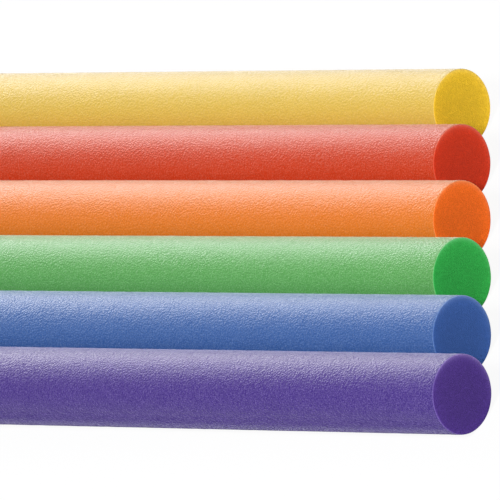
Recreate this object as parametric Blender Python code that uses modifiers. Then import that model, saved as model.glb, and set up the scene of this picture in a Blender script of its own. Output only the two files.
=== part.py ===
"""A set of six solid-core foam pool noodles, laid side by side on the floor.

Each noodle is one extruded bar of closed-cell foam with no hole through it, cut square at both ends,
with a small round on the cut rims. The bars lie along X and touch along their sides. Every bar lies one
step further to -X than the bar in front of it, so the row of ends runs back at a slant.

The origin is on the floor, under the middle of the whole row. +X points along the bars, +Y points from
the front bar to the back one, and +Z is up. Lengths are in metres.
"""

import math

import bmesh
import bpy
from mathutils import Matrix

MM = 0.001

# The foam bar
NOODLE_DIAMETER = 65 * MM
NOODLE_LENGTH = 1400 * MM
RIM_RADIUS = 2.5 * MM
BAR_SIDES = 64
RIM_SEGMENTS = 4
SHARP_ANGLE = math.radians(30)

# The row
SIDE_GAP = 0.3 * MM
END_STEP = 49 * MM

# The foam's finish and its colours, from the front bar to the back one
FOAM_ROUGHNESS = 0.55
FOAM_COLOURS = (
    ("purple_noodle", (0.100, 0.065, 0.271)),
    ("blue_noodle", (0.074, 0.141, 0.366)),
    ("green_noodle", (0.095, 0.376, 0.102)),
    ("orange_noodle", (0.791, 0.191, 0.033)),
    ("red_noodle", (0.622, 0.063, 0.026)),
    ("yellow_noodle", (0.768, 0.503, 0.080)),
)


def clear_scene():
    """Remove every object that the open file holds."""
    for old in list(bpy.data.objects):
        bpy.data.objects.remove(old, do_unlink=True)


def new_collection(name):
    """A collection of that name, linked to the scene."""
    collection = bpy.data.collections.new(name)
    bpy.context.scene.collection.children.link(collection)
    return collection


def foam_material(name, colour):
    """Matt closed-cell foam, coloured all through."""
    material = bpy.data.materials.new(name)
    material.use_nodes = True
    shader = material.node_tree.nodes["Principled BSDF"]
    shader.inputs["Base Color"].default_value = (*colour, 1.0)
    shader.inputs["Roughness"].default_value = FOAM_ROUGHNESS
    shader.inputs["Metallic"].default_value = 0.0
    return material


def bar_mesh(name):
    """A plain round bar along X, centred on its own origin, with a flat side facing straight down.

    The diameter is measured across two opposite flats, so the corners stand a little further out.
    """
    corner_radius = NOODLE_DIAMETER / 2 / math.cos(math.pi / BAR_SIDES)
    bar = bmesh.new()
    bmesh.ops.create_cone(
        bar,
        cap_ends=True,
        segments=BAR_SIDES,
        radius1=corner_radius,
        radius2=corner_radius,
        depth=NOODLE_LENGTH,
    )
    flat_side_down = Matrix.Rotation(math.pi / BAR_SIDES, 4, "Z")
    lying_along_x = Matrix.Rotation(math.radians(90), 4, "Y")
    bmesh.ops.transform(bar, matrix=lying_along_x @ flat_side_down, verts=bar.verts)
    mesh = bpy.data.meshes.new(name)
    bar.to_mesh(mesh)
    bar.free()
    mesh.shade_smooth()
    mesh.set_sharp_from_angle(angle=SHARP_ANGLE)
    return mesh


def round_rims(noodle):
    """Round off the edge where the side meets each cut end."""
    rims = noodle.modifiers.new("rounded_rims", "BEVEL")
    rims.width = min(RIM_RADIUS, NOODLE_DIAMETER / 2, NOODLE_LENGTH / 2)
    rims.segments = RIM_SEGMENTS
    rims.limit_method = "ANGLE"
    rims.angle_limit = SHARP_ANGLE
    rims.use_clamp_overlap = True


def lay_noodle(name, colour, place, row, collection):
    """Make one noodle and lay it in the row; place counts from 0 at the front."""
    noodle = bpy.data.objects.new(name, bar_mesh(name))
    collection.objects.link(noodle)
    noodle.data.materials.append(foam_material(name, colour))
    round_rims(noodle)
    steps_from_middle = place - (len(FOAM_COLOURS) - 1) / 2
    noodle.parent = row
    noodle.location = (
        -steps_from_middle * END_STEP,
        steps_from_middle * (NOODLE_DIAMETER + SIDE_GAP),
        NOODLE_DIAMETER / 2,
    )


def main():
    clear_scene()
    collection = new_collection("pool_noodle_set")
    row = bpy.data.objects.new("noodle_row", None)
    collection.objects.link(row)
    for place, (name, colour) in enumerate(FOAM_COLOURS):
        lay_noodle(name, colour, place, row, collection)
    bpy.context.view_layer.update()


main()
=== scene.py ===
"""A set of six solid foam pool noodles, dressed for a plain white studio.

Each noodle is one bar of foam with a pebbled skin and two cut ends. The bars are modelled to fill the
frame's own solids, which say how long and thick the noodles are and where they lie. Lengths are in metres,
+X runs along the noodles, +Y from the front one to the back one, and +Z is up.
"""

import math

import bmesh
import bpy
from bpy.props import FloatProperty, FloatVectorProperty, IntProperty, PointerProperty
from mathutils import Matrix, Vector, noise


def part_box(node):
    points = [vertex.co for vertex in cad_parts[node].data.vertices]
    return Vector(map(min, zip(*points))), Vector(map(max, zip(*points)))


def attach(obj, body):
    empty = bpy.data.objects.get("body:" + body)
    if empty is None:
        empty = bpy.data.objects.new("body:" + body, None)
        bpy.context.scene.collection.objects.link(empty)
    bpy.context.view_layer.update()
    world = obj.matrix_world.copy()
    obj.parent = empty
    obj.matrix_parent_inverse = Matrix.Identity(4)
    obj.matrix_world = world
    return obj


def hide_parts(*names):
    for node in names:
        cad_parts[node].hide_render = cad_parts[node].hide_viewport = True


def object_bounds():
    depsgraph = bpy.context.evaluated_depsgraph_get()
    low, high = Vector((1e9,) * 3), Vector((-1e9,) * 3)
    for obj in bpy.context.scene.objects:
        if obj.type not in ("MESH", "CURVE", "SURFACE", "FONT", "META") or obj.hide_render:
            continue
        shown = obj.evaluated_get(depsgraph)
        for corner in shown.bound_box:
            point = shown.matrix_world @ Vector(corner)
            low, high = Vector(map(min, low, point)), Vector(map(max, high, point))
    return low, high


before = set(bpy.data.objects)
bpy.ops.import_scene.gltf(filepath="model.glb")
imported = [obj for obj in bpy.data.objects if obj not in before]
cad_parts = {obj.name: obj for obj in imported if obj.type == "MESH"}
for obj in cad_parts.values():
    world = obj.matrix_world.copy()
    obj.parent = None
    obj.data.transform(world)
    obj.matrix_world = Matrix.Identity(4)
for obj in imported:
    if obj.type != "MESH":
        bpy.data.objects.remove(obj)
frame_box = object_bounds()

bl_info = {
    "name": "Pool Noodle Set",
    "version": (1, 0, 0),
    "blender": (4, 5, 0),
    "location": "3D View > Sidebar > Noodles",
    "description": "Dresses a row of solid foam pool noodles and sets a white studio round it",
    "category": "Add Mesh",
}

MM = 0.001
LEAST_LENGTH = 0.001 * MM
COLOUR_NAMES = ("purple", "blue", "green", "orange", "red", "yellow")

# Each lamp's azimuth to the right of the front and its elevation, in degrees, the side of its square,
# in metres, and how bright it makes a white surface that faces it
LAMPS = {
    "front_lamp": (42, 43.6, 1.2, 1.10),
    "back_lamp": (231, 16.5, 4.0, 0.60),
    "left_lamp": (252, 33.0, 4.0, 0.60),
}

# How far the camera sees, in times its distance from its aim
CAMERA_REACH = 100

# A noodle's material slots. A face is cut foam where its normal points along the noodle by more than this
SKIN_SLOT, CUT_SLOT = 0, 1
CUT_FACING = 0.6

# Where the swells of the first noodle are read in the noise. Each next noodle is read 1 further on
FIRST_SEED = 0.37

# How steeply the attribute edge rises from the middle of a cut end to its rim, how much more steeply the
# painted highlight on the rim does, and the edge at which the thin painted highlight line along the rim
# starts
EDGE_POWER = 4
PAINTED_HIGHLIGHT_POWER = 5
PAINTED_LINE_START = 0.88

# Settings of the noise and cell textures, and the value that noise has on average
DRIFT_NOISE = {"Detail": 2.0, "Roughness": 0.55}
GRAIN_NOISE = {"Detail": 2.0, "Roughness": 0.6}
CELL_NOISE = {"Detail": 3.0, "Roughness": 0.6}
PATCH_NOISE = {"Detail": 2.0}
FULLY_RANDOM = {"Randomness": 1.0}
NOISE_MEAN = 0.5

# How each pattern reads its texture: from which value to which, and what it makes of the two
BEAD_RANGE = (0.05, 0.85, 0.85, 0.0)
DRIFT_RANGE = (0.25, 0.75, 0.0, 0.15)
CREVICE_RANGE = (0.15, 0.50, 1.0, 0.0)
SPECK_RANGE = (0.47, 0.66, 0.0, 1.0)
WALL_RANGE = (0.02, 0.22, 1.0, 0.0)


# Sizes and colours that a user would change


def foam_colour(name, description, colour):
    """A colour property with that default."""
    return FloatVectorProperty(
        name=name, description=description, subtype="COLOR", size=3, min=0.0, max=1.0, default=colour
    )


def length(name, description, metres):
    """A length property with that default, which is never quite none."""
    return FloatProperty(
        name=name, description=description, unit="LENGTH", subtype="DISTANCE", precision=5,
        min=LEAST_LENGTH, default=metres,
    )


def share(name, description, value):
    """A property for a share between none and all."""
    return FloatProperty(
        name=name, description=description, subtype="FACTOR", min=0.0, max=1.0, default=value
    )


def angle(name, description, degrees):
    """An angle property with that default."""
    return FloatProperty(
        name=name, description=description, subtype="ANGLE", default=math.radians(degrees)
    )


class NoodleShape(bpy.types.PropertyGroup):
    """How finely a noodle is modelled, and how far its foam is from a perfect cylinder"""

    sides: IntProperty(name="Sides", description="Faces round a noodle", min=16, default=144)
    ring_step: length("Ring step", "Distance between the rings of faces along a noodle", 2.6 * MM)
    rim_radius: length("Rim radius", "Rounding where the skin meets a cut end", 0.9 * MM)
    rim_segments: IntProperty(name="Rim segments", description="Faces across the rim", min=1, default=5)
    end_rings: IntProperty(name="End rings", description="Rings of faces on a cut end", min=2, default=12)
    lump_depth: length("Lump depth", "How far the foam swells and sinks", 0.12 * MM)
    lump_size: length("Lump size", "Distance between neighbouring swells", 12 * MM)
    ripple_depth: length("Ripple depth", "Height of the finer waves between the swells", 0.055 * MM)
    ripple_size: length("Ripple size", "Distance between neighbouring waves", 5.5 * MM)
    bow_depth: length("Bow depth", "How far a noodle's thickness drifts along its length", 0.08 * MM)
    bow_size: length("Bow size", "Distance over which the thickness drifts", 90 * MM)


class FoamFinish(bpy.types.PropertyGroup):
    """The surface of the skin and of the cut ends"""

    pebble_size: length("Pebble size", "Distance between neighbouring pebbles of the skin", 1.6 * MM)
    pebble_depth: length("Pebble depth", "Height of the skin's pebbles", 0.40 * MM)
    pebble_stretch: share("Pebble stretch", "Width of a pebble as a share of its length", 0.75)
    grain_size: length("Grain size", "Size of the finest grain on the skin", 0.8 * MM)
    grain_share: share("Grain share", "Height of the finest grain as a share of the pebbles' height", 0.15)
    grain_paleness: share("Grain paleness", "How far the finest grain of the skin fades to white", 0.14)
    skin_patch_size: length("Skin patch size", "Distance between the skin's broad soft patches", 35 * MM)
    skin_patch_share: share("Skin patch share", "How much the skin's patches differ in brightness", 0.06)
    # Painted shade: the skin is painted darker between its pebbles
    crevice_painted_shade: share("Crevice shade", "How much darker the skin is between its pebbles", 0.06)
    skin_roughness: share("Skin roughness", "Roughness of the skin on top of its pebbles", 0.30)
    crevice_roughness: share("Crevice roughness", "How much rougher the skin is between its pebbles", 0.12)
    underside_roughness: share("Underside roughness", "Roughness of the scuffed skin low down", 1.0)
    underside_top: share("Underside top", "Share of a noodle's height below which the skin scuffs", 0.57)
    underside_fade: FloatProperty(
        name="Underside fade", description="Share of a noodle's height over which the scuffs set in",
        subtype="FACTOR", min=0.01, max=1.0, default=0.17,
    )
    skin_specular: share("Skin reflection", "Strength of the skin's plain reflection", 0.185)
    skin_sheen: share("Skin sheen", "Pale bloom of the skin at a low angle", 0.27)
    skin_sheen_roughness: share("Skin sheen roughness", "How widely the skin's sheen spreads", 0.30)
    cell_size: length("Cell size", "Size of the cells that a cut opens", 1.5 * MM)
    cell_depth: length("Cell depth", "Depth of the cells that a cut opens", 0.45 * MM)
    wall_gain: share("Wall gain", "How much lighter the walls of the cells are than the cells", 0.25)
    wall_paleness: share("Wall paleness", "How far the walls of the cells fade to white", 0.020)
    cut_patch_size: length("Cut patch size", "Distance between the broad patches of a cut end", 18 * MM)
    cut_patch_share: share("Cut patch share", "How much a cut end's patches differ in brightness", 0.08)
    cut_roughness: share("Cut roughness", "Roughness of the walls of the cells", 0.80)
    cell_roughness: share("Cell roughness", "How much rougher the cells are than their walls", 0.10)
    cut_specular: share("Cut reflection", "Strength of the cut foam's plain reflection", 0.08)
    cut_sheen: share("Cut sheen", "Pale bloom of the cut foam at a low angle", 0.05)
    cut_sheen_roughness: share("Cut sheen roughness", "How widely the cut foam's sheen spreads", 0.60)
    # Painted light: a cut end is painted lighter towards its rim
    rim_painted_light: share("Rim gain", "How much lighter a cut end is at its rim than in the middle", 0.30)
    # Painted highlight: a thin line along the rim, painted paler
    rim_painted_line: share("Rim paleness", "How far the thin line along the rim fades to white", 0.12)
    rim_roughness: share("Rim roughness", "How much rougher the rim is than the skin", 0.40)
    # The next two values set a painted highlight: each rim is faded to white towards the back and the top
    # of the noodle
    rim_painted_highlight: share("Rim bloom", "How far the rim fades to white where it has its pale bloom", 0.36)
    painted_highlight_angle: angle("Bloom angle", "Where the bloom is, from the back of a noodle up", 30)
    pale_hue: share("Pale hue", "How far what fades to white keeps the foam's own hue", 0.75)


class NoodleColours(bpy.types.PropertyGroup):
    """The colour of each noodle's skin, of the gloss on it, and of the foam that its cut ends show"""

    purple_skin: foam_colour("Purple skin", "Skin of the purple noodle", (0.037, 0.015, 0.157))
    purple_gloss: foam_colour("Purple gloss", "Gloss on the purple noodle's skin", (0.82, 0.82, 1.00))
    purple_cut: foam_colour("Purple foam", "Cut ends of the purple noodle", (0.044, 0.016, 0.158))
    blue_skin: foam_colour("Blue skin", "Skin of the blue noodle", (0.028, 0.084, 0.265))
    blue_gloss: foam_colour("Blue gloss", "Gloss on the blue noodle's skin", (0.82, 0.90, 1.00))
    blue_cut: foam_colour("Blue foam", "Cut ends of the blue noodle", (0.023, 0.073, 0.259))
    green_skin: foam_colour("Green skin", "Skin of the green noodle", (0.074, 0.281, 0.063))
    green_gloss: foam_colour("Green gloss", "Gloss on the green noodle's skin", (0.95, 0.92, 0.90))
    green_cut: foam_colour("Green foam", "Cut ends of the green noodle", (0.015, 0.293, 0.041))
    orange_skin: foam_colour("Orange skin", "Skin of the orange noodle", (0.628, 0.145, 0.009))
    orange_gloss: foam_colour("Orange gloss", "Gloss on the orange noodle's skin", (0.70, 0.88, 0.76))
    orange_cut: foam_colour("Orange foam", "Cut ends of the orange noodle", (0.707, 0.107, 0.002))
    red_skin: foam_colour("Red skin", "Skin of the red noodle", (0.445, 0.030, 0.004))
    red_gloss: foam_colour("Red gloss", "Gloss on the red noodle's skin", (0.80, 0.74, 0.56))
    red_cut: foam_colour("Red foam", "Cut ends of the red noodle", (0.489, 0.023, 0.002))
    yellow_skin: foam_colour("Yellow skin", "Skin of the yellow noodle", (0.585, 0.401, 0.057))
    yellow_gloss: foam_colour("Yellow gloss", "Gloss on the yellow noodle's skin", (0.72, 0.75, 0.85))
    yellow_cut: foam_colour("Yellow foam", "Cut ends of the yellow noodle", (0.661, 0.412, 0.012))


class Studio(bpy.types.PropertyGroup):
    """The floor, the light and the camera"""

    floor_size: length("Floor size", "Side of the square floor", 400.0)
    floor_drop: length("Floor drop", "Distance of the floor below the noodles", 0.2 * MM)
    floor_colour: foam_colour("Floor colour", "Colour of the floor", (0.88, 0.88, 0.88))
    floor_glow: share("Floor glow", "Share of plain white in what the camera sees of the floor", 0.94)
    sky_strength: FloatProperty(
        name="Sky strength", description="Even light from all round", min=0.0, default=0.10
    )
    lamp_distance: length("Lamp distance", "Distance of each lamp from the noodles", 6.0)
    camera_lens: FloatProperty(
        name="Lens", description="The camera's focal length", subtype="DISTANCE_CAMERA", min=1.0,
        default=864.0,
    )
    camera_distance: length("Camera distance", "Distance from the camera to its aim", 9.92)
    camera_azimuth: angle("Camera azimuth", "Turn of the camera to the right of the front", 57.36)
    camera_elevation: angle("Camera elevation", "Height of the camera above the horizon", 28.65)
    camera_roll: angle("Camera roll", "Turn of the camera about its line of sight", -36.47)
    camera_aim: FloatVectorProperty(
        name="Camera aim", description="Point that the camera looks at", subtype="TRANSLATION",
        size=3, unit="LENGTH", default=(0.4466, -0.0031, 0.0325),
    )


# Node trees


def set_inputs(made, values):
    """Give a node's inputs their values, by name."""
    for name, value in values.items():
        made.inputs[name].default_value = value


def node(tree, kind, values=None, **settings):
    """A new node with its settings and, by input name, its values."""
    made = tree.nodes.new(kind)
    for setting, value in settings.items():
        setattr(made, setting, value)
    set_inputs(made, values or {})
    return made


def feed(tree, sockets, operands):
    """Give each input socket its operand, which is a number or an output socket to link."""
    for socket, operand in zip(sockets, operands):
        if isinstance(operand, (int, float)):
            socket.default_value = operand
        else:
            tree.links.new(operand, socket)


def calculate(tree, operation, first, second):
    """The output of a Math node. Each operand is a socket or a number."""
    made = node(tree, "ShaderNodeMath", operation=operation)
    feed(tree, made.inputs, (first, second))
    return made.outputs["Value"]


def mix(tree, data_type, factor, first, second):
    """The output of a Mix node that goes from first to second. Each operand is a socket or a number."""
    made = node(tree, "ShaderNodeMix", data_type=data_type)
    feed(tree, [socket for socket in made.inputs if socket.enabled], (factor, first, second))
    return next(socket for socket in made.outputs if socket.enabled)


def remap(tree, value, low, high, to_low, to_high):
    """The output of a Map Range node that keeps value between to_low and to_high."""
    numbers = {"From Min": low, "From Max": high, "To Min": to_low, "To Max": to_high}
    made = node(tree, "ShaderNodeMapRange", numbers, clamp=True)
    tree.links.new(value, made.inputs["Value"])
    return made.outputs["Result"]


def blend(tree, mask, at_none, at_all):
    """A value that goes from at_none to at_all as the mask goes from 0 to 1."""
    return remap(tree, mask, 0.0, 1.0, at_none, at_all)


def attribute(tree, name):
    """The value of one of a bar's own attributes."""
    return node(tree, "ShaderNodeAttribute", attribute_name=name).outputs["Fac"]


def opaque(colour):
    """A colour as the sockets take it, with its alpha."""
    return (*colour, 1.0)


def new_group(name, inputs, outputs):
    """An empty shader node group, with its input and output nodes. Each socket is a name and a type."""
    group = bpy.data.node_groups.new(name, "ShaderNodeTree")
    for label, kind in inputs:
        group.interface.new_socket(label, in_out="INPUT", socket_type="NodeSocket" + kind)
    for label, kind in outputs:
        group.interface.new_socket(label, in_out="OUTPUT", socket_type="NodeSocket" + kind)
    return group, group.nodes.new("NodeGroupInput"), group.nodes.new("NodeGroupOutput")


def place_group(tree, group, place, **values):
    """Put a group into a material's tree, read at place, with its own values."""
    made = tree.nodes.new("ShaderNodeGroup")
    made.node_tree = group
    tree.links.new(place, made.inputs["Place"])
    set_inputs(made, {name.replace("_", " ").capitalize(): value for name, value in values.items()})
    return made


def texture(tree, kind, place, size, values, **settings):
    """A texture node whose pattern repeats about every size metres. size is a socket."""
    made = node(tree, kind, values, **settings)
    tree.links.new(place, made.inputs["Vector"])
    tree.links.new(calculate(tree, "DIVIDE", 1.0, size), made.inputs["Scale"])
    return made


def pebble_group():
    """Round beads packed side by side, with a finer grain over them, as on foam that skinned over."""
    group, given, out = new_group(
        "foam_pebbles",
        [("Place", "Vector"), ("Pebble size", "Float"), ("Grain size", "Float"), ("Grain share", "Float")],
        [("Height", "Float"), ("Crevice", "Float"), ("Speck", "Float")],
    )
    place, pebble_size, grain_size, grain_share = given.outputs[:4]
    drift = texture(group, "ShaderNodeTexNoise", place, pebble_size, DRIFT_NOISE)
    beads = texture(group, "ShaderNodeTexVoronoi", place, pebble_size, FULLY_RANDOM, feature="F1")
    grain = texture(group, "ShaderNodeTexNoise", place, grain_size, GRAIN_NOISE)
    bead_height = remap(group, beads.outputs["Distance"], *BEAD_RANGE)
    drift_height = remap(group, drift.outputs["Fac"], *DRIFT_RANGE)
    pebbles = calculate(group, "ADD", bead_height, drift_height)
    fine = calculate(group, "MULTIPLY", grain.outputs["Fac"], grain_share)
    group.links.new(calculate(group, "ADD", pebbles, fine), out.inputs["Height"])
    group.links.new(remap(group, pebbles, *CREVICE_RANGE), out.inputs["Crevice"])
    group.links.new(remap(group, grain.outputs["Fac"], *SPECK_RANGE), out.inputs["Speck"])
    return group


def cell_group():
    """Foam cells cut open: thin walls round dents of unlike size."""
    group, given, out = new_group(
        "cut_cells",
        [("Place", "Vector"), ("Cell size", "Float")],
        [("Height", "Float"), ("Wall", "Float")],
    )
    place, cell_size = given.outputs[:2]
    cells = texture(
        group, "ShaderNodeTexVoronoi", place, cell_size, FULLY_RANDOM, feature="DISTANCE_TO_EDGE"
    )
    drift = texture(group, "ShaderNodeTexNoise", place, cell_size, CELL_NOISE)
    wall = remap(group, cells.outputs["Distance"], *WALL_RANGE)
    both = calculate(group, "ADD", wall, drift.outputs["Fac"])
    group.links.new(calculate(group, "MULTIPLY", both, 1 / 2), out.inputs["Height"])
    group.links.new(wall, out.inputs["Wall"])
    return group


def tint_group():
    """Shades a colour in broad soft patches and where a mask paints shade and light; fades it paler for
    grain and highlights.
    """
    group, given, out = new_group(
        "foam_tint",
        [
            ("Place", "Vector"), ("Colour", "Color"), ("Patch size", "Float"), ("Patch share", "Float"),
            ("Mask", "Float"), ("Mask gain", "Float"), ("Fade", "Float"), ("Fade colour", "Color"),
        ],
        [("Colour", "Color")],
    )
    place, colour, patch_size, patch_share, mask, mask_gain, fade, fade_colour = given.outputs[:8]
    patches = texture(group, "ShaderNodeTexNoise", place, patch_size, PATCH_NOISE)
    off_mean = calculate(group, "SUBTRACT", patches.outputs["Fac"], NOISE_MEAN)
    swing = calculate(group, "MULTIPLY", off_mean, patch_share)
    marked = calculate(group, "MULTIPLY", mask, mask_gain)
    gain = calculate(group, "ADD", calculate(group, "ADD", swing, marked), 1.0)
    scaled = node(group, "ShaderNodeVectorMath", operation="SCALE")
    group.links.new(colour, scaled.inputs["Vector"])
    group.links.new(gain, scaled.inputs["Scale"])
    faded = mix(group, "RGBA", fade, scaled.outputs["Vector"], fade_colour)
    group.links.new(faded, out.inputs["Colour"])
    return group


def new_material(name):
    """A material with its Principled shader and the coordinates of the object that wears it."""
    material = bpy.data.materials.new(name)
    material.use_nodes = True
    tree = material.node_tree
    place = tree.nodes.new("ShaderNodeTexCoord").outputs["Object"]
    return material, tree, tree.nodes["Principled BSDF"], place


def dent(tree, shader, height, depth):
    """Bump the shader by a height between 0 and 1 that stands for depth metres."""
    bump = node(tree, "ShaderNodeBump", {"Strength": 1.0, "Distance": depth})
    tree.links.new(height, bump.inputs["Height"])
    tree.links.new(bump.outputs["Normal"], shader.inputs["Normal"])


def pale_colour(colour, hue_share):
    """White, moved by that share towards the hue of the colour."""
    strongest = max(colour) or 1.0
    return [1 - hue_share * (1 - math.sqrt(channel / strongest)) for channel in colour]


def skin_material(name, colour, gloss, finish, groups):
    """The closed, pebbled skin along a noodle's side, under its pale gloss."""
    material, tree, shader, place = new_material(name)
    drawn = node(tree, "ShaderNodeMapping", {"Scale": (finish.pebble_stretch, 1.0, 1.0)})
    tree.links.new(place, drawn.inputs["Vector"])
    pebbles = place_group(
        tree, groups["pebbles"], drawn.outputs["Vector"],
        pebble_size=finish.pebble_size, grain_size=finish.grain_size, grain_share=finish.grain_share,
    )
    crevice = pebbles.outputs["Crevice"]
    # The crevices between the pebbles get painted shade through the mask, and are rougher
    tint = place_group(
        tree, groups["tint"], place,
        colour=opaque(colour), fade_colour=opaque(pale_colour(colour, finish.pale_hue)),
        patch_size=finish.skin_patch_size, patch_share=finish.skin_patch_share,
        mask_gain=-finish.crevice_painted_shade,
    )
    edge = attribute(tree, "edge")
    # Painted highlight: the rim fades to white, most towards the back and the top, with a thin painted
    # pale line along it
    bloom = calculate(tree, "MULTIPLY", attribute(tree, "bloom"), finish.rim_painted_highlight)
    rim_highlight_fade = calculate(tree, "ADD", bloom, finish.rim_painted_line)
    painted_rim_highlight = calculate(tree, "MULTIPLY", edge, rim_highlight_fade)
    pale_specks = calculate(tree, "MULTIPLY", pebbles.outputs["Speck"], finish.grain_paleness)
    tree.links.new(calculate(tree, "ADD", pale_specks, painted_rim_highlight), tint.inputs["Fade"])
    tree.links.new(crevice, tint.inputs["Mask"])
    tree.links.new(tint.outputs["Colour"], shader.inputs["Base Color"])
    roughest = min(finish.skin_roughness + finish.crevice_roughness, 1.0)
    side_rough = blend(tree, crevice, finish.skin_roughness, roughest)
    rim_rough = calculate(tree, "MULTIPLY", edge, finish.rim_roughness)
    upper_rough = calculate(tree, "ADD", side_rough, rim_rough)
    rough = mix(tree, "FLOAT", attribute(tree, "underside"), upper_rough, finish.underside_roughness)
    tree.links.new(rough, shader.inputs["Roughness"])
    dent(tree, shader, pebbles.outputs["Height"], finish.pebble_depth)
    set_inputs(shader, {
        "Specular IOR Level": finish.skin_specular,
        "Specular Tint": opaque(gloss),
        "Sheen Weight": finish.skin_sheen,
        "Sheen Roughness": finish.skin_sheen_roughness,
        "Sheen Tint": opaque(gloss),
    })
    return material


def cut_material(name, colour, finish, groups):
    """The open cells of a cut end, with painted light and a painted highlight on its rim."""
    material, tree, shader, place = new_material(name)
    cells = place_group(tree, groups["cells"], place, cell_size=finish.cell_size)
    wall = cells.outputs["Wall"]
    tint = place_group(
        tree, groups["tint"], place,
        colour=opaque(colour), fade_colour=opaque(pale_colour(colour, finish.pale_hue)),
        patch_size=finish.cut_patch_size, patch_share=finish.cut_patch_share, mask_gain=1.0,
    )
    edge = attribute(tree, "edge")
    # Painted light: the cut end is painted lighter towards its rim
    painted_rim_light = calculate(tree, "MULTIPLY", edge, finish.rim_painted_light)
    lighter_walls = calculate(tree, "MULTIPLY", wall, finish.wall_gain)
    tree.links.new(calculate(tree, "ADD", painted_rim_light, lighter_walls), tint.inputs["Mask"])
    pale_walls = calculate(tree, "MULTIPLY", wall, finish.wall_paleness)
    # Painted highlight: a thin pale line along the rim
    painted_line = remap(tree, edge, PAINTED_LINE_START, 1.0, 0.0, finish.rim_painted_line)
    # Painted highlight: a pale patch on the rim towards the back and the top of the noodle
    near_rim = calculate(tree, "POWER", edge, PAINTED_HIGHLIGHT_POWER)
    bloom = calculate(tree, "MULTIPLY", near_rim, attribute(tree, "bloom"))
    pale_painted_highlight = calculate(tree, "MULTIPLY", bloom, finish.rim_painted_highlight)
    pale = calculate(tree, "ADD", pale_walls, painted_line)
    tree.links.new(calculate(tree, "ADD", pale, pale_painted_highlight), tint.inputs["Fade"])
    tree.links.new(tint.outputs["Colour"], shader.inputs["Base Color"])
    roughest = min(finish.cut_roughness + finish.cell_roughness, 1.0)
    rough = blend(tree, wall, roughest, finish.cut_roughness)
    tree.links.new(rough, shader.inputs["Roughness"])
    dent(tree, shader, cells.outputs["Height"], finish.cell_depth)
    set_inputs(shader, {
        "Specular IOR Level": finish.cut_specular,
        "Sheen Weight": finish.cut_sheen,
        "Sheen Roughness": finish.cut_sheen_roughness,
    })
    return material


# The noodles


def add_mesh(name, form, materials):
    """An object at the origin of the scene with the mesh of a form, which is freed."""
    mesh = bpy.data.meshes.new(name)
    form.to_mesh(mesh)
    form.free()
    for material in materials:
        mesh.materials.append(material)
    made = bpy.data.objects.new(name, mesh)
    bpy.context.scene.collection.objects.link(made)
    return made


def end_faces(bar):
    """The two faces with the most corners, which are the cut ends."""
    return sorted(bar.faces, key=lambda face: len(face.verts))[-2:]


def plain_bar(bar, low, high, sides):
    """A closed bar along X that fills the box from low to high."""
    radius = (high.z - low.z) / 2
    middle = (low + high) / 2
    to_low_end = Matrix.Translation((low.x, middle.y, middle.z)) @ Matrix.Rotation(math.pi / 2, 4, "Y")
    ring = bmesh.ops.create_circle(bar, cap_ends=True, segments=sides, radius=radius, matrix=to_low_end)
    cap = ring["verts"][0].link_faces[0]
    pulled = bmesh.ops.extrude_face_region(bar, geom=[cap], use_keep_orig=True)
    moved = [part for part in pulled["geom"] if isinstance(part, bmesh.types.BMVert)]
    bmesh.ops.translate(bar, vec=(high.x - low.x, 0, 0), verts=moved)
    bmesh.ops.recalc_face_normals(bar, faces=bar.faces)


def round_rims(bar, shape):
    """Round the edge of each cut end, and set the attribute edge to 1 on the round and 0 elsewhere."""
    mark = bar.verts.layers.float.new("edge")
    rims = [edge for face in end_faces(bar) for edge in face.edges]
    rounded = bmesh.ops.bevel(
        bar, geom=rims, offset=shape.rim_radius, offset_type="OFFSET", affect="EDGES",
        segments=shape.rim_segments, profile=0.5, material=-1, clamp_overlap=True,
    )
    round_faces = set(rounded["faces"])
    for vert in rounded["verts"]:
        vert[mark] = float(round_faces.issuperset(vert.link_faces))


def part_skin_and_cut(bar):
    """Give the cut ends, and the part of each rim that faces out of the end, the cut foam's material."""
    bar.normal_update()
    for face in bar.faces:
        face.material_index = CUT_SLOT if abs(face.normal.x) > CUT_FACING else SKIN_SLOT


def ring_the_ends(bar, shape, radius):
    """Divide each cut end into rings of one width, with its faces meeting at the middle."""
    width = (radius - shape.rim_radius) / shape.end_rings
    for face in end_faces(bar):
        for _ in range(shape.end_rings - 1):
            bmesh.ops.inset_region(bar, faces=[face], thickness=width, use_even_offset=True)
        bmesh.ops.poke(bar, faces=[face])


def ring_the_side(bar, shape, span):
    """Divide the long faces of the side, which are span metres long, into rings."""
    long_edges = [edge for edge in bar.edges if edge.calc_length() > span / 2]
    cuts = max(int(span / shape.ring_step), 1)
    bmesh.ops.subdivide_edges(bar, edges=long_edges, cuts=cuts, use_grid_fill=True)


def mark_the_ends(bar, low, high):
    """Set the attribute edge on the cut foam, from 0 in the middle to 1 at the rim."""
    mark = bar.verts.layers.float["edge"]
    middle = (low + high) / 2
    radius = (high.z - low.z) / 2
    for face in bar.faces:
        if face.material_index == CUT_SLOT:
            for vert in face.verts:
                out = math.hypot(vert.co.y - middle.y, vert.co.z - middle.z) / radius
                vert[mark] = out ** EDGE_POWER


def mark_the_painted_highlight(bar, low, high, painted_highlight_angle):
    """Set the attribute that places the painted highlight on each rim, from 1 at that angle from the back
    up to 0 a quarter turn away.
    """
    mark = bar.verts.layers.float.new("bloom")
    middle = (low + high) / 2
    for vert in bar.verts:
        around = math.atan2(vert.co.z - middle.z, vert.co.y - middle.y)
        vert[mark] = max(math.cos(around - painted_highlight_angle), 0.0)


def mark_the_underside(bar, low, high, finish):
    """Set the attribute underside, from 0 on the upper part to 1 low down."""
    mark = bar.verts.layers.float.new("underside")
    for vert in bar.verts:
        height = (vert.co.z - low.z) / (high.z - low.z)
        below = (finish.underside_top - height) / finish.underside_fade
        vert[mark] = min(max(below, 0.0), 1.0)


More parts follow.
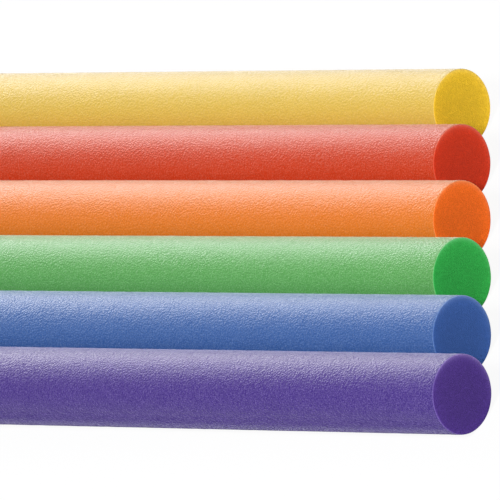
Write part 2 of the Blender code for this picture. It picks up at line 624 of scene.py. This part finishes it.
def swell(bar, shape, seed):
    """Move each point a little in or out, as foam that was pulled from a die and cooled by itself."""
    bar.normal_update()
    offset = Vector((seed, -seed, seed / 2))
    waves = (
        (shape.lump_size, shape.lump_depth),
        (shape.ripple_size, shape.ripple_depth),
        (shape.bow_size, shape.bow_depth),
    )
    for vert in bar.verts:
        vert.co += vert.normal * sum(
            noise.noise(vert.co / size + offset) * depth for size, depth in waves
        )


def foam_bar(name, cad_node, shape, finish, seed, materials):
    """Model one noodle to fill its solid in the frame, less half of what its swells can add."""
    low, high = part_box(cad_node)
    spare = Vector((1, 1, 1)) * (shape.lump_depth + shape.ripple_depth + shape.bow_depth) / 2
    low, high = low + spare, high - spare
    bar = bmesh.new()
    plain_bar(bar, low, high, shape.sides)
    round_rims(bar, shape)
    part_skin_and_cut(bar)
    ring_the_ends(bar, shape, (high.z - low.z) / 2)
    mark_the_ends(bar, low, high)
    ring_the_side(bar, shape, high.x - low.x)
    mark_the_painted_highlight(bar, low, high, finish.painted_highlight_angle)
    mark_the_underside(bar, low, high, finish)
    swell(bar, shape, seed)
    bmesh.ops.recalc_face_normals(bar, faces=bar.faces)
    piece = add_mesh(name, bar, materials)
    piece.data.shade_smooth()
    return piece


class NOODLES_OT_lay_row(bpy.types.Operator):
    """Dress each noodle of the row in finely modelled foam"""

    bl_idname = "noodles.lay_row"
    bl_label = "Lay the Noodles"

    def execute(self, context):
        scene = context.scene
        shape, finish, colours = scene.noodle_shape, scene.foam_finish, scene.noodle_colours
        groups = {"pebbles": pebble_group(), "cells": cell_group(), "tint": tint_group()}
        for number, colour in enumerate(COLOUR_NAMES):
            skin_colour, gloss, cut_colour = (
                getattr(colours, colour + part) for part in ("_skin", "_gloss", "_cut")
            )
            skin = skin_material(colour + "_skin", skin_colour, gloss, finish, groups)
            cut = cut_material(colour + "_cut", cut_colour, finish, groups)
            cad_node = colour + "_noodle"
            seed = number + FIRST_SEED
            piece = foam_bar(colour + "_foam_bar", cad_node, shape, finish, seed, (skin, cut))
            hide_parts(cad_node)
            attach(piece, colour)
        return {"FINISHED"}


# The stage


def seen_directly(tree):
    """1 where the camera, gloss or clear glass sees the backdrop, and 0 where it only lights things."""
    path = tree.nodes.new("ShaderNodeLightPath")
    seen = calculate(tree, "MAXIMUM", path.outputs["Is Camera Ray"], path.outputs["Is Glossy Ray"])
    return calculate(tree, "MAXIMUM", seen, path.outputs["Is Transmission Ray"])


def add_sky(studio):
    """An even pale light from all round, which looks plain white."""
    world = bpy.data.worlds.new("studio_sky")
    world.use_nodes = True
    tree = world.node_tree
    background = tree.nodes["Background"]
    set_inputs(background, {"Color": opaque((1.0, 1.0, 1.0))})
    strength = blend(tree, seen_directly(tree), studio.sky_strength, 1.0)
    tree.links.new(strength, background.inputs["Strength"])
    bpy.context.scene.world = world


def floor_material(studio):
    """Pale paper that keeps a soft shadow and looks white to the camera where nothing shades it."""
    material = bpy.data.materials.new("studio_floor")
    material.use_nodes = True
    tree = material.node_tree
    tree.nodes.clear()
    paper = node(tree, "ShaderNodeBsdfDiffuse", {"Color": opaque(studio.floor_colour)})
    glow = node(tree, "ShaderNodeEmission", {"Strength": 1.0})
    mixed = tree.nodes.new("ShaderNodeMixShader")
    out = tree.nodes.new("ShaderNodeOutputMaterial")
    glow_share = calculate(tree, "MULTIPLY", seen_directly(tree), studio.floor_glow)
    feed(tree, mixed.inputs, (glow_share, paper.outputs["BSDF"], glow.outputs["Emission"]))
    tree.links.new(mixed.outputs["Shader"], out.inputs["Surface"])
    return material


def add_floor(studio):
    """A broad level floor just under the noodles."""
    floor = bmesh.new()
    bmesh.ops.create_grid(
        floor, x_segments=1, y_segments=1, size=studio.floor_size / 2,
        matrix=Matrix.Translation((0, 0, -studio.floor_drop)),
    )
    add_mesh("studio_floor", floor, [floor_material(studio)])


def direction(azimuth, elevation):
    """The way from the noodles to something seen at that azimuth, right of the front, and elevation."""
    level = math.cos(elevation)
    return Vector((math.sin(azimuth) * level, -math.cos(azimuth) * level, math.sin(elevation)))


def looking_back(aim, away, distance):
    """The transform of something at that distance from the aim, in the direction away, that faces it."""
    return Matrix.Translation(aim + away * distance) @ away.to_track_quat("Z", "Y").to_matrix().to_4x4()


def add_lamp(name, studio, aim, azimuth, elevation, side, brightness):
    """A square soft lamp that faces the aim, and makes white paper there as bright as that."""
    light = bpy.data.lights.new(name, "AREA")
    light.shape = "SQUARE"
    light.size = side
    light.energy = brightness * (math.pi * studio.lamp_distance) ** 2
    lamp = bpy.data.objects.new(name, light)
    away = direction(math.radians(azimuth), math.radians(elevation))
    lamp.matrix_world = looking_back(aim, away, studio.lamp_distance)
    lamp.visible_camera = False
    bpy.context.scene.collection.objects.link(lamp)


def add_camera(studio):
    """The camera, rolled so that the noodles lie level in the picture."""
    camera_data = bpy.data.cameras.new("camera")
    camera_data.lens = studio.camera_lens
    camera_data.clip_end = studio.camera_distance * CAMERA_REACH
    camera = bpy.data.objects.new("camera", camera_data)
    away = direction(studio.camera_azimuth, studio.camera_elevation)
    upright = looking_back(Vector(studio.camera_aim), away, studio.camera_distance)
    camera.matrix_world = upright @ Matrix.Rotation(studio.camera_roll, 4, "Z")
    bpy.context.scene.collection.objects.link(camera)
    bpy.context.scene.camera = camera


class NOODLES_OT_set_stage(bpy.types.Operator):
    """Set the floor, the soft lamps and the camera round the noodles"""

    bl_idname = "noodles.set_stage"
    bl_label = "Set the Stage"

    def execute(self, context):
        scene = context.scene
        studio = scene.noodle_studio
        scene.view_settings.view_transform = "Standard"
        add_sky(studio)
        add_floor(studio)
        low, high = frame_box
        middle = (low + high) / 2
        for name, values in LAMPS.items():
            add_lamp(name, studio, middle, *values)
        add_camera(studio)
        return {"FINISHED"}


class NOODLES_PT_sidebar(bpy.types.Panel):
    """The noodles' sizes and colours, and the steps that build them"""

    bl_idname = "NOODLES_PT_sidebar"
    bl_label = "Pool Noodle Set"
    bl_space_type = "VIEW_3D"
    bl_region_type = "UI"
    bl_category = "Noodles"

    def draw(self, context):
        layout = self.layout
        for title, group_name in GROUP_TITLES.items():
            layout.label(text=title)
            group = getattr(context.scene, group_name)
            for name in group.bl_rna.properties.keys():
                if name not in {"rna_type", "name"}:
                    layout.prop(group, name)
        layout.operator(NOODLES_OT_lay_row.bl_idname)
        layout.operator(NOODLES_OT_set_stage.bl_idname)


GROUP_TITLES = {
    "Shape": "noodle_shape",
    "Finish": "foam_finish",
    "Colours": "noodle_colours",
    "Stage": "noodle_studio",
}
PROPERTY_GROUPS = {
    "noodle_shape": NoodleShape,
    "foam_finish": FoamFinish,
    "noodle_colours": NoodleColours,
    "noodle_studio": Studio,
}
TOOLS = (NOODLES_OT_lay_row, NOODLES_OT_set_stage, NOODLES_PT_sidebar)


def register():
    for name, group in PROPERTY_GROUPS.items():
        bpy.utils.register_class(group)
        setattr(bpy.types.Scene, name, PointerProperty(type=group))
    for tool in TOOLS:
        bpy.utils.register_class(tool)


def unregister():
    for tool in reversed(TOOLS):
        bpy.utils.unregister_class(tool)
    for name, group in PROPERTY_GROUPS.items():
        delattr(bpy.types.Scene, name)
        bpy.utils.unregister_class(group)


def main():
    register()
    bpy.ops.noodles.lay_row()
    bpy.ops.noodles.set_stage()


if __name__ == "__main__":
    main()
